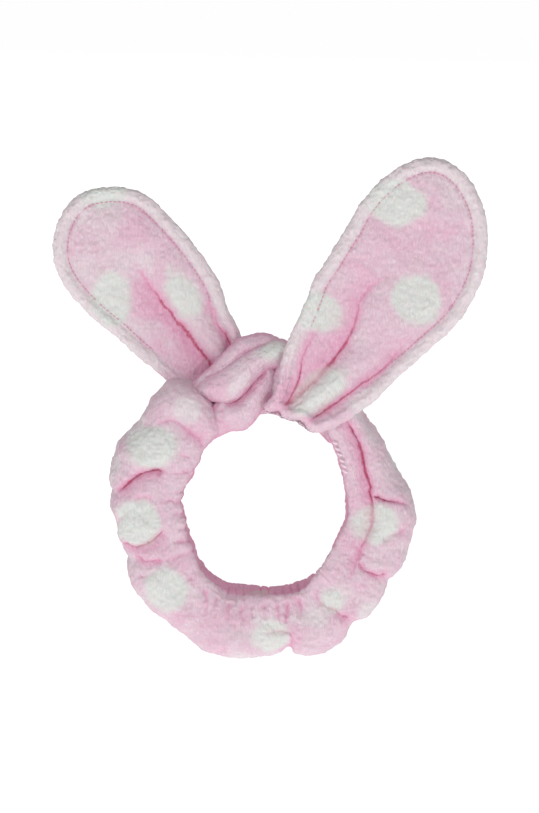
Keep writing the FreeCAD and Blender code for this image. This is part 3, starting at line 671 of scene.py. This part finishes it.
def band():
    """The casing from the knot's left side down round the head and up to its right side."""
    outer = edge_angles(OUTER_EDGE)
    piece, grid, turn = casing(
        "band_fleece", BAND_START, BAND_END, outer, INNER_EDGE, 0.0, 29.0, BAND_GRID, BAND_FOLDS, BAND_DOTS,
        UNSEEN_DOTS, 3, 9.0, (9, 7),
    )
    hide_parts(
        "back_outer_panel", "back_inner_panel", "left_shoulder_outer_panel", "left_shoulder_inner_panel",
        "right_shoulder_outer_panel", "right_shoulder_inner_panel", "left_side_seam", "right_side_seam",
        "back_edge_seams", "left_shoulder_edge_seams", "right_shoulder_edge_seams",
    )
    # The elastic lies inside, just behind the wall beside the head.
    count = 240
    degrees = np.linspace(ELASTIC_START, ELASTIC_END, count)
    r = radius_at(degrees, INNER_EDGE) + ELASTIC_INSET
    angle = np.radians(degrees)[:, None]
    y = ELASTIC_HALF_WIDTH * np.array([-1, 1, 1, -1])[None]
    thick = r[:, None] + ELASTIC_THICK * np.array([0, 0, 1, 1])[None]
    ribbon = np.stack([thick * np.cos(angle), y + 0 * thick, thick * np.sin(angle)], -1)
    elastic = mesh_object("elastic_ribbon", ribbon.reshape(-1, 3), tube_faces(count, 4), ELASTIC)
    elastic.data.polygons.foreach_set("use_smooth", [False] * len(elastic.data.polygons))
    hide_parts("elastic_strip")
    # Loops of overlocking show beside the head, just under the knot's right side.
    loops, corner = [], np.searchsorted(turn, OVERLOCK_TURNS)
    for degree in np.arange(OVERLOCK_FROM, OVERLOCK_TO, OVERLOCK_STEP):
        i = int(np.interp(degree, np.linspace(BAND_START, BAND_END, grid.shape[0]), np.arange(grid.shape[0])))
        hub = grid[i].mean(0)
        p, q = grid[i, corner[0]], grid[i - 5, corner[1]]
        loops.append([c + (c - hub) / np.linalg.norm(c - hub) * 2.0 for c in (p, q)])
    overlock = stitches("edge_overlock_thread", loops, 1.15, 7.0, 0.0, GLOSSY)
    for part in (piece, elastic, overlock):
        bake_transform(part)


# ---- flat-laid pieces: ears and the knot's rolls


def line_share(line, share):
    """Points at given shares of the length of a smooth curve through a line's points."""
    dense = curve_through(line, 500)
    return np.stack([np.interp(share, np.linspace(0, 1, 500), dense[:, k]) for k in (0, 1)], -1)


def blade(left, right, rows, columns):
    """Flat places between two lines that share both ends, closer together towards every edge, and their inset."""
    s = np.linspace(0, 1, rows)
    s = 0.4 * s + 0.6 * (1 - np.cos(math.pi * s)) / 2
    w = np.linspace(0, 1, columns)
    w = 0.25 * w + 0.75 * (1 - np.cos(math.pi * w)) / 2
    a, b = line_share(left, s), line_share(right, s)
    flat = a[:, None] * (1 - w)[None, :, None] + b[:, None] * w[None, :, None]
    share = np.linspace(0, 1, 90)
    inset = np.minimum(
        line_distance(flat, line_share(left, share))[0], line_distance(flat, line_share(right, share))[0]
    )
    inset[0], inset[-1], inset[:, 0], inset[:, -1] = 0, 0, 0, 0
    return flat, inset


def pillow(name, flat, inset, face, seed, pile_height=1.0):
    """A closed piece between a front and a back face. face(flat, inset, sign) gives depth, painted shade and dots."""
    rows, columns = flat.shape[:2]
    points, fields = [], []
    for sign in (-1, 1):
        y, pink_shade, dots = face(flat, inset, sign)
        points.append(unsee(flat[..., 0], flat[..., 1], y).reshape(-1, 3))
        fields.append((dots.ravel(), pink_shade.ravel()))
    quads = grid_faces(rows, columns)
    faces = np.concatenate([quads, quads[:, ::-1] + rows * columns])
    dots = np.concatenate([f[0] for f in fields])
    pink_shade = np.concatenate([f[1] for f in fields])
    return fleece_piece(name, np.concatenate(points), faces, dots, pink_shade, seed, pile_height)


RIM = 12.0  # from an ear's edge to its topstitch
EAR_GRID = (330, 130)
STITCH = (0.40, 2.7, 0.8)  # a topstitch's radius and length, and the gap to the next
WIRE_INSET, WIRE_RADIUS, CRIMP_RADIUS, TAIL_RADIUS = 6.0, 0.8, 1.9, 1.5

# Each ear as it is seen: both sides from foot to tip, folds, dots on the front and back, and low swellings
# (x, z, spread, height). depth is where its middle lies; sewn is how far up from the root the topstitch starts.
EARS = {
    "left": {
        "depth": 5.0,
        "left": [
            (-48, 88), (-66, 92), (-80, 101), (-91, 110), (-106, 122), (-120, 135), (-137, 149), (-151, 163),
            (-162.5, 178), (-168.5, 192), (-170, 206), (-167.5, 222), (-161.5, 235), (-152, 246), (-141, 252),
            (-126, 254.5),
        ],
        "right": [
            (-48, 88), (-33, 92), (-22, 106), (-17, 121), (-19.5, 136), (-29, 156), (-37, 179), (-51, 201),
            (-68, 222), (-83, 238), (-97, 249), (-111, 254), (-126, 254.5),
        ],
        "folds": [
            ([(-108, 199.5), (-93, 177), (-80.5, 159.5), (-65.6, 142), (-53, 124.5), (-43, 112), (-36, 100)], 3.2, 8.0,
             2.8, 0.24, 1.5),
            ([(-46, 168), (-38.5, 146), (-30, 133), (-22, 119)], 1.8, 6.0, 0.6, 0.3, 1.3),
            ([(-86, 119), (-68, 111), (-50, 103)], 2.0, 3.2, 0.8, 0.3, 1.1),
            ([(-62, 170), (-52, 150), (-38, 128)], 2.6, 2.2, 0.8, 0.2, 1.0),
        ],
        "dots": [(-128, 253, 19.6, 14, 0.0), (-123, 164, 16, 21.5, 0.12), (-64.5, 167.5, 12.5, 21, 0.55)],
        "back_dots": [
            (-140, 205, 17, 17, 0), (-88, 222, 17, 17, 0), (-97, 150, 17, 17, 0), (-48, 160, 15, 17, 0),
        ],
        "shape": [(-100, 214, 26, 2.0), (-140, 200, 30, -1.2), (-70, 185, 22, 1.6), (-95, 140, 20, 1.6)],
        "curl": 0.0, "plump": 0.0, "sewn": 42,
    },
    "right": {
        "depth": -35.5,
        "left": [
            (11, 74.5), (4, 74.2), (-1.5, 77.5), (3, 83.5), (7.5, 90), (10, 98), (12.2, 109), (14.2, 120), (18.3, 132),
            (26.5, 149), (33, 165), (39, 181), (48.5, 195), (57, 209), (66, 223), (74, 238), (83, 250), (94, 261),
            (108, 271), (122, 277),
        ],
        "right": [
            (11, 74.5), (13.5, 70.5), (20, 67.6), (29, 66.5), (33.5, 60.5), (41, 57.4), (51, 60), (65, 67), (78, 76),
            (91, 86), (106, 102), (122, 115.5), (137, 129), (151, 142), (163, 158), (172.5, 177), (177, 193),
            (178.5, 214), (176, 234), (170, 250), (160, 265), (148, 274), (135, 278), (122, 277),
        ],
        "folds": [
            ([(108.8, 188.8), (87.2, 177.6), (76.8, 163.2), (68.8, 137.6), (61, 124), (50, 111), (40, 100), (28, 90),
              (18, 81), (12, 75)], 3.0, 8.0, 2.6, 0.24, 1.25),
            ([(46, 148), (39, 135), (29.8, 117), (27.6, 103), (22, 89), (13, 76)], 1.9, 7.0, 0.4, 0.35, 1.1),
            ([(112, 129), (99.2, 113), (81, 98.6), (67.7, 89.6), (56, 80.5), (43, 71.5), (31, 66)], 1.9, 7.0, 0.9, 0.6,
             1.0),
            ([(56, 118), (44, 104), (30, 84), (18, 76)], 2.2, 3.4, 0.6, 0.2, 1.0),
            ([(33, 122), (24, 100), (12, 80)], 1.8, 2.6, 0.6, 0.3, 1.0),
        ],
        "dots": [
            (106.4, 241, 23, 17.6, -0.1), (121.3, 164.5, 18, 21, 0.1), (45, 153.6, 20, 15.5, -0.3),
            (42, 91.5, 26, 13, 0.68),
        ],
        "back_dots": [
            (150, 240, 17, 17, 0), (88, 205, 17, 17, 0), (150, 175, 17, 17, 0), (92, 138, 17, 17, 0),
            (36, 125, 15, 17, 0), (70, 84, 15, 15, 0),
        ],
        "shape": [
            (130, 200, 34, -1.4), (70, 205, 22, 1.6), (112, 160, 26, 1.8), (62, 100, 20, 1.8), (30, 150, 14, 1.2),
        ],
        "curl": 0.012, "plump": 0.5, "sewn": 64,
    },
}


def ear(side):
    """Both panels of an ear as one closed piece: puffed rim, sunk topstitch, and folds that meet at its foot."""
    spec = EARS[side]
    hinge = np.array(joint(f"{side}_ear_fold")["pos_m"]) / MM
    root = np.array(joint(f"{side}_ear_splay")["pos_m"]) / MM
    up = (hinge - root) / np.linalg.norm(hinge - root)
    base = 40 if side == "left" else 60

    def climb(flat):
        """How far up the ear from its root each flat place lies."""
        return (unsee(flat[..., 0], flat[..., 1], spec["depth"]) - root) @ up

    def face(flat, inset, sign):
        p = unsee(flat[..., 0], flat[..., 1], spec["depth"])
        along = (p - root) @ up
        tube = 5.4 * np.sqrt(np.clip(1 - ((inset - RIM / 2) / (RIM / 2)) ** 2, 0, 1))
        dent = smooth(inset, RIM * 0.55, RIM)
        inside = 3.6 + 2.0 * smooth(inset, RIM, RIM + 15)
        body = np.where(inset < RIM / 2, tube, tube * (1 - dent) + inside * dent)
        full = smooth(inset, 0, 6)
        bunch = 1 - smooth(along, 0, 75)
        body = body * (1 + 0.55 * bunch + spec["plump"] * (1 - smooth(along, -20, 25)))
        swell = np.zeros(inset.shape)
        for x, z, spread, high in spec["shape"]:
            swell = swell + high * np.exp(-((flat[..., 0] - x) ** 2 + (flat[..., 1] - z) ** 2) / spread**2)
        stitch = np.exp(-(((inset - RIM) / 1.5) ** 2)) * (0.75 + 0.25 * noise(p, 9, base + 9))
        stitch = stitch * smooth(along, spec["sewn"] - 14, spec["sewn"] + 8)
        sharp, broad, pink_shade = folds_at(flat, spec["folds"], base + 30)
        lift = body + full * (0.8 * noise(p + 50 * sign, 22, base) + 0.45 * noise(p + 50 * sign, 11, base + 1))
        lift = lift - 1.1 * stitch
        middle = spec["depth"] - swell * smooth(inset, 0, 20) + full * 0.55 * broad
        middle = middle + spec["curl"] * np.clip(14 - along, 0, None) ** 2
        # Painted shade: deeper pink in the folds (weaker on the back face), along the sunk topstitch and over the
        # ear's inside, inward of the rim.
        pink_shade = np.maximum(pink_shade if sign < 0 else 0.35 * pink_shade, 0.30 * stitch)
        pink_shade = np.maximum(pink_shade, 0.12 * smooth(inset, RIM - 2, RIM + 8))
        # Painted highlight: the puffed rim is paler, as if lit; elsewhere paler patches at random.
        pale = 0.85 * smooth(RIM + 1 - inset, 0, 5) + 0.5 * smooth(noise(p, 24, base + 12), 0.1, 0.7)
        pale = pale * smooth(along, 5, 45)
        pink_shade = pink_shade - pale * (1 - np.clip(3.5 * (pink_shade - 0.12), 0, 1))
        if sign < 0:
            lift = lift - full * (0.45 * sharp + 0.20 * broad)
        y = middle + sign * np.where(inset > 0, np.maximum(lift, 2.6 * full), 0)
        return y, pink_shade, dots_seen(flat, spec["dots"] if sign < 0 else spec["back_dots"])

    flat, inset = blade(spec["left"], spec["right"], *EAR_GRID)
    piece = pillow(f"{side}_ear_fleece", flat, inset, face, base + 2)
    # Topstitching: separate stitches in the sunk line, on both faces.
    share = np.linspace(0, 1, 700)
    edge = np.concatenate([line_share(spec["left"], share), line_share(spec["right"], share)[::-1][1:-1]])
    way = np.roll(edge, -4, 0) - np.roll(edge, 4, 0)
    way = unit(way)
    inward = np.stack([way[:, 1], -way[:, 0]], 1)
    line = edge + inward * RIM
    depth_in = line_distance(line, edge[::6])[0]
    rows, row = [], []
    keep = (depth_in > RIM - 0.8) & (climb(line) > spec["sewn"])
    for sign in (-1, 1):
        y = face(line, np.full(len(line), RIM), sign)[0]
        at = unsee(line[:, 0], line[:, 1], y + sign * 0.25)
        for point, good in zip(at, keep):
            if good:
                row.append(point)
            elif row:
                rows.append(row)
                row = []
        rows.append(row)
        row = []
    rows = [r for r in rows if len(r) > 8]
    seam = stitches(f"{side}_ear_topstitch_thread", rows, *STITCH, THREAD)
    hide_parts(f"{side}_ear_front_panel", f"{side}_ear_back_panel", f"{side}_ear_neck")
    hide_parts(f"{side}_ear_topstitch")

    def inside(places):
        """Places between the two faces, under given flat ones."""
        deep = line_distance(places, edge[::6])[0]
        y = (face(places, deep, -1)[0] + face(places, deep, 1)[0]) / 2
        return unsee(places[:, 0], places[:, 1], y)

    # The wire follows the rim; its ends meet in a crimp at the blade's foot, and a twisted tail runs into the knot.
    loop = edge + inward * WIRE_INSET
    loop = loop[climb(loop) > np.linalg.norm(hinge - root) + 6]
    gap = int(np.argmax(np.linalg.norm(np.roll(loop, -1, 0) - loop, axis=1)))
    loop = np.roll(loop, -gap - 1, 0)
    foot_line = loop[-1] + (loop[0] - loop[-1]) * np.linspace(0, 1, 30)[1:-1, None]
    loop = np.concatenate([loop[::8], foot_line[::4]])
    crimp_mid = foot_line[len(foot_line) // 2]
    crimp_way = (loop[0] - loop[-1]) / np.linalg.norm(loop[0] - loop[-1])
    crimp = crimp_mid + crimp_way * np.linspace(-7.5, 7.5, 9)[:, None]
    tail = seen(root + up * np.linspace(0.5, np.linalg.norm(hinge - root) - 1.5, 12)[:, None])
    wires = [
        (rod(f"{side}_rim_wire", curve_through(inside(loop), 260, True), WIRE_RADIUS, WIRE, True), "wire"),
        (rod(f"{side}_rim_crimp", inside(crimp), CRIMP_RADIUS, CRIMP), "wire_sleeve"),
        (rod(f"{side}_twisted_tail", inside(tail), TAIL_RADIUS, WIRE), "wire_tail"),
    ]
    for part, stands_for in wires:
        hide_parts(f"{side}_ear_{stands_for}")
    for part in (piece, seam, *(w[0] for w in wires)):
        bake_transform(part)


def rod(name, line, radius, look, closed=False, sides=10):
    """A round rod along a line of points, closed on itself or with flat ends."""
    line = np.asarray(line, float)
    way = np.roll(line, -1, 0) - np.roll(line, 1, 0)
    if not closed:
        way[0], way[-1] = line[1] - line[0], line[-1] - line[-2]
    way = unit(way)
    u = unit(np.cross(way, (0.0, 1.0, 0.0)))
    v = np.cross(way, u)
    turns = np.linspace(0, 2 * math.pi, sides, endpoint=False)
    c, s = np.cos(turns)[None, :, None], np.sin(turns)[None, :, None]
    grid = line[:, None] + radius * (c * u[:, None] + s * v[:, None])
    return mesh_object(name, grid.reshape(-1, 3), tube_faces(len(line), sides, closed), look)


def capsule(p, q, radius, sides=8):
    """Points and faces of a rounded stitch from p to q."""
    p, q = np.asarray(p, float), np.asarray(q, float)
    length = np.linalg.norm(q - p)
    d = (q - p) / length
    u = np.cross(d, (0.0, 1.0, 0.0) if abs(d[1]) < 0.9 else (1.0, 0.0, 0.0))
    u = u / np.linalg.norm(u)
    v = np.cross(d, u)
    turns = np.linspace(0, 2 * math.pi, sides, endpoint=False)
    ring = np.cos(turns)[:, None] * u + np.sin(turns)[:, None] * v
    points = [p]
    for share, swell in ((0.10, 0.62), (0.25, 0.92), (0.5, 1.0), (0.75, 0.92), (0.90, 0.62)):
        points += list(p + d * length * share + radius * swell * ring)
    points.append(q)
    faces = []
    for i in range(sides):
        j = (i + 1) % sides
        faces.append((0, 1 + j, 1 + i))
        faces += [(1 + k + i, 1 + k + j, 1 + k + sides + j, 1 + k + sides + i) for k in range(0, 4 * sides, sides)]
        faces.append((1 + 4 * sides + i, 1 + 4 * sides + j, 1 + 5 * sides))
    return points, faces


def stitches(name, rows, radius, length, gap, look):
    """Separate stitches laid along lines of points."""
    points, faces = [], []
    for row in rows:
        row = np.asarray(row, float)
        far = walked(row)
        size = min(length, far[-1] * 0.98)
        at = 0.0
        while at + size <= far[-1]:
            p, q = (np.array([np.interp(d, far, row[:, k]) for k in range(3)]) for d in (at, at + size))
            more, quads = capsule(p, q, radius)
            faces += [tuple(i + len(points) for i in f) for f in quads]
            points += more
            at += size + gap
            if gap == 0:
                break
    return mesh_object(name, points, faces, look)


# ---- the knot

ROLL_GRID = (170, 90)

# Rolls of the knot's front: both edges from one end to the other, depth at start, middle and end, height, roundness,
# folds, dots, and which CAD node the roll stands for.
ROLLS = [
    (
        "knot_top_roll",
        [(-62, 90), (-56, 100), (-43.2, 111.2), (-26.4, 128.5), (-19.2, 134.2), (-5.6, 137.6), (5.6, 136.4), (14, 131),
         (20, 124)],
        [(-62, 90), (-52.8, 90), (-35.2, 99), (-15.2, 113), (0.8, 122), (12, 124), (20, 124)],
        (-2, -10, -8), 12, 15,
        [([(-50, 100), (-30, 114), (-8, 127)], 2.0, 2.4, 0.5, 0.6, 0.6)],
        [], None,
    ),
    (
        "knot_upper_roll",
        [(-58, 92), (-50, 100.5), (-35.2, 109), (-15.2, 122), (0.8, 130), (12, 133), (21, 129), (22, 120)],
        [(-58, 92), (-50, 86), (-40, 82), (-31, 80.5), (-22, 83.5), (-14, 91.5), (-5.5, 101), (3, 107.5), (12, 110.5),
         (22, 120)],
        (-6, -17, -15), 14, 16,
        [([(-46, 92), (-26, 104), (-4, 120)], 2.4, 1.6, 0.5, 0.6, 0.5),
         ([(-31, 81.5), (-22, 84.5), (-14, 92.5), (-5.5, 102), (3, 108.5), (12, 111.5)], 1.2, 4.5, 0.2, 0.9, 1.0)],
        [(5.5, 124.5, 11, 8.5, 0.3)], "knot_upper_strand",
    ),
    (
        "knot_lower_roll",
        [(-60, 38), (-58, 52), (-52, 66), (-44, 77), (-36, 84), (-24, 88.5), (-15.2, 96.5), (-6.4, 106), (1.6, 112),
         (8, 109)],
        [(-60, 38), (-51, 42.5), (-41.6, 51.2), (-28, 58.2), (-16.8, 59.4), (-8.8, 66.4), (-1.5, 76.5), (5, 86),
         (10, 97), (8, 109)],
        (-2, -12, -12), 15, 17,
        [([(-47, 70), (-34, 66), (-30, 58)], 2.0, 3.0, 0.5, 0.6, 0.8),
         ([(-34, 81.5), (-22, 84.5), (-14, 92.5), (-6, 102), (2, 108.5)], 1.5, 7.5, 0.8, 0.9, 1.0),
         ([(-38, 90), (-42, 72), (-40, 58)], 1.6, 5.0, 0.2, 0.9, 0.9),
         ([(-36, 80), (-33, 70), (-36, 60)], 1.8, 3.0, 0.4, 0.8, 0.4)],
        [], "knot_lower_strand",
    ),
    (
        "knot_wrap_roll",
        [(1, 92), (7, 108), (16, 121), (30, 117), (50, 102), (66, 90), (74, 79)],
        [(1, 92), (9, 83), (20, 77), (32, 73), (44, 69), (58, 70), (74, 79)],
        (-10, -13, -8), 15, 17,
        [([(4, 86), (28, 82), (56, 74)], 2.2, 4.0, 0.5, 0.6, 0.8)],
        [], "knot_front_wrap",
    ),
]


def knot():
    """The overhand knot: rolls of folded fleece in front and the strand that runs behind them."""
    for number, (name, upper, lower, depths, high, roundness, folds, dots, stands_for) in enumerate(ROLLS):
        flat, inset = blade(upper, lower, *ROLL_GRID)
        share = np.linspace(0, 1, ROLL_GRID[0])[:, None] + 0 * inset
        middle = np.interp(share, (0, 0.5, 1), depths)
        seed = 80 + 12 * number

        def face(flat, inset, sign):
            p = unsee(flat[..., 0], flat[..., 1], middle)
            round_off = np.sqrt(np.clip(1 - (1 - np.clip(inset / roundness, 0, 1)) ** 2, 0, 1))
            lift = high * round_off * (1.0 if sign < 0 else 0.9)
            uneven = 0.9 * noise(p + 60 * sign, 19, seed) + 0.3 * noise(p + 60 * sign, 9, seed + 1)
            lift = lift + smooth(inset, 0, 8) * uneven
            sharp, broad, pink_shade = folds_at(flat, folds, seed + 5)
            if sign < 0:
                lift = lift - smooth(inset, 0, 6) * (0.6 * sharp + 0.4 * broad)
            # Painted shade: deeper pink along the roll's edges, where it turns under.
            pink_shade = np.maximum(pink_shade if sign < 0 else 0 * pink_shade, 0.50 * np.exp(-inset / 3.0))
            pink_shade = pink_shade - 0.7 * smooth(noise(p, 20, seed + 7), -0.1, 0.5) * (1 - np.clip(3.5 * pink_shade, 0, 1))
            y = middle + sign * np.where(inset > 0, np.maximum(lift, 0), 0)
            return y, pink_shade, dots_seen(flat, dots) if sign < 0 else np.full(inset.shape, NO_DOT)

        piece = pillow(name, flat, inset, face, seed + 2, pile_height=0.65)
        if stands_for:
            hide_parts(stands_for)
        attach(piece, "knot_band")
    outer = [(34, 100), (45, 108), (60, 113), (90, 116), (120, 116), (134, 112), (146, 104)]
    inner = [(34, 72), (60, 70), (120, 70), (146, 72)]
    dots = [((-30, 36, 88), 16), ((28, 37, 100), 17), ((66, 34, 66), 15), ((0, 22, 118), 15)]
    piece, _, _ = casing(
        "knot_rear_roll", 36, 143, outer, inner, 21.0, 15.5, (230, 130), [], [], dots, 140, 13.0, (9, 9)
    )
    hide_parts("knot_rear_strand")
    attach(piece, "knot_band")


def joint(name):
    """The frame's joint of that name."""
    return next(j for j in frame["joints"] if j["name"] == name)


GLOSSY = thread("glossy_thread", (0.98, 0.72, 0.84), (0.99, 0.90, 0.95), 0.22)
ELASTIC = woven("woven_elastic", (0.84, 0.82, 0.80), (0.66, 0.64, 0.63), 260)
WIRE = metal("soft_wire", (0.62, 0.63, 0.65), 0.34)
CRIMP = metal("crimp", (0.75, 0.75, 0.77), 0.28)

band()
ear("left")
ear("right")
knot()

# ---- carried-over parts

for obj in frame["nodes"].values():
    obj.data.materials.clear()
    obj.data.materials.append(THREAD)

# ---- stage, light and camera

scene = bpy.context.scene
scene.view_settings.view_transform = "Standard"

world = bpy.data.worlds.new("studio")
world.use_nodes = True
tree = world.node_tree
tree.nodes["Background"].inputs["Color"].default_value = (1, 1, 1, 1)
strength = tree.nodes.new("ShaderNodeMapRange")
strength.inputs["To Min"].default_value = 0.37
tree.links.new(tree.nodes.new("ShaderNodeLightPath").outputs["Is Camera Ray"], strength.inputs["Value"])
tree.links.new(strength.outputs[0], tree.nodes["Background"].inputs["Strength"])
scene.world = world

FLOOR_Z = -0.2000  # metres: low enough that the stretched band stays above it
FLOOR_HALF = 9
floor_mesh = bpy.data.meshes.new("floor")
corners = [(x * FLOOR_HALF, y * FLOOR_HALF, FLOOR_Z) for x, y in ((-1, -1), (1, -1), (1, 1), (-1, 1))]
floor_mesh.from_pydata(corners, [], [(0, 1, 2, 3)])
floor = add_object("floor", floor_mesh)
paper, tree, bsdf = shader("white_paper")
set_inputs(bsdf, {
    "Base Color": (0.9, 0.9, 0.9, 1), "Roughness": 0.9, "Emission Color": (1, 1, 1, 1), "Emission Strength": 0.65,
})
floor_mesh.materials.append(paper)


def face_along(obj, way):
    obj.rotation_mode = "QUATERNION"
    obj.rotation_quaternion = way.to_track_quat("-Z", "Y")


def lamp(name, place, power, width):
    """A square area lamp that faces the object."""
    data = bpy.data.lights.new(name, "AREA")
    data.energy, data.size = power, width
    obj = add_object(name, data)
    obj.location = place
    face_along(obj, Vector(LIT_PLACE) - Vector(place))


LIT_PLACE = (0, 0, 0.07)
lamp("key", (-0.9, -3.0, 1.3), 20, 1.1)
lamp("back", (0.6, 3.0, 1.6), 16, 1.4)
lamp("fill", (0.9, -2.6, 0.0), 9, 0.9)

SENSOR = 36
camera = bpy.data.cameras.new("camera")
camera.sensor_width = SENSOR
camera.lens = SENSOR * CAMERA_DISTANCE / VIEW_HEIGHT
view = add_object("camera", camera)
back = Vector(VIEW_BACK)
target = Vector((AIM[0] * MM, 0, AIM[1] * MM / math.cos(ELEVATION)))
view.location = target + back * CAMERA_DISTANCE
face_along(view, -back)
camera.clip_end = 60
scene.camera = view
